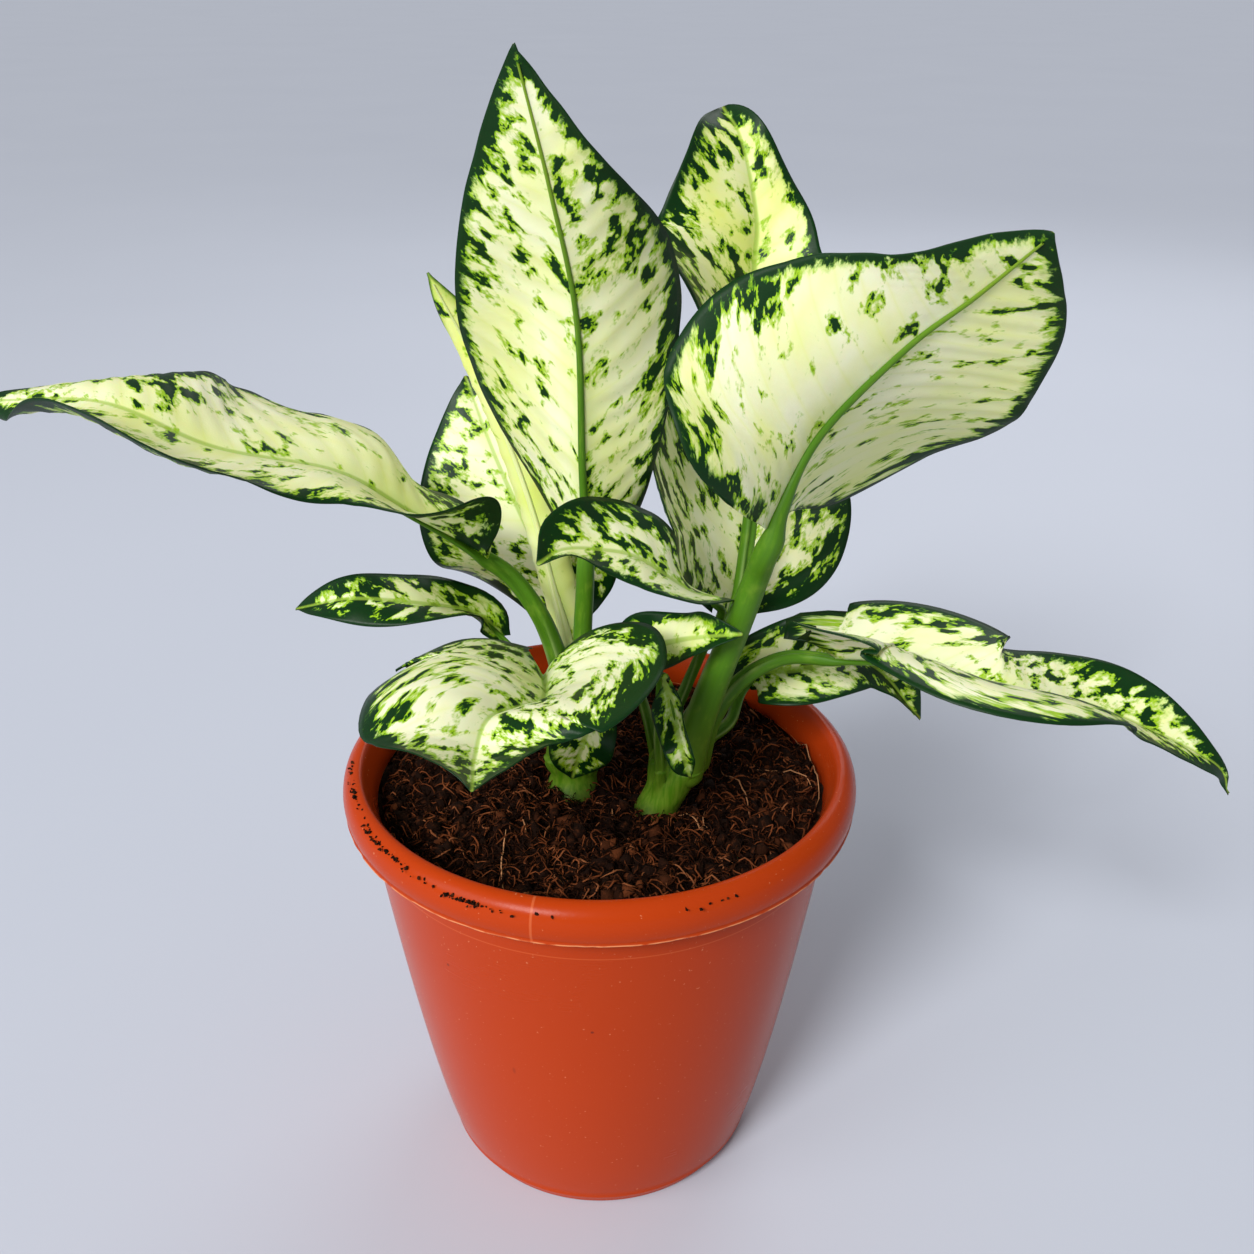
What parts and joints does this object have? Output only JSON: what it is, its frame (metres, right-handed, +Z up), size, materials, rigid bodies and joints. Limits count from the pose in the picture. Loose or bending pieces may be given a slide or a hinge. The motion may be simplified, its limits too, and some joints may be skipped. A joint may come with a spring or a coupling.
{
  "type": "potted foliage plant",
  "caption": "Round plastic pot with a rolled rim, filled with soil, holding a bushy plant with broad pointed variegated leaves on stalks.",
  "frame": {"origin": "centre of the pot's flat underside, on the pot's axis", "axes": "+Z up along the pot's axis; the side seen in the picture faces -Y; the longest leaves reach along -X and +X"},
  "size_m": [0.3395, 0.1816, 0.3496],
  "materials": {
    "pot": "semi-gloss moulded terracotta-orange plastic",
    "soil": "dark brown coir and peat mix, matte",
    "stem": "green fleshy stem, satin",
    "leaf": "cream leaf with dark green margin and flecks, waxy"
  },
  "bodies": {
    "root": {"pot": "pot", "soil": "soil", "stem_left": "stem", "stem_right": "stem", "leaf_tall": "leaf", "leaf_broad": "leaf", "leaf_rear_right": "leaf", "leaf_behind_broad": "leaf", "leaf_long_left": "leaf", "leaf_small_left": "leaf", "leaf_small_centre": "leaf", "leaf_rolled_spear": "leaf", "leaf_rear_left": "leaf", "leaf_front": "leaf", "leaf_bud_right": "leaf", "leaf_tiny_hanging": "leaf", "leaf_tiny_front": "leaf", "leaf_long_right": "leaf", "leaf_low_right": "leaf"}
  },
  "joints": []
}
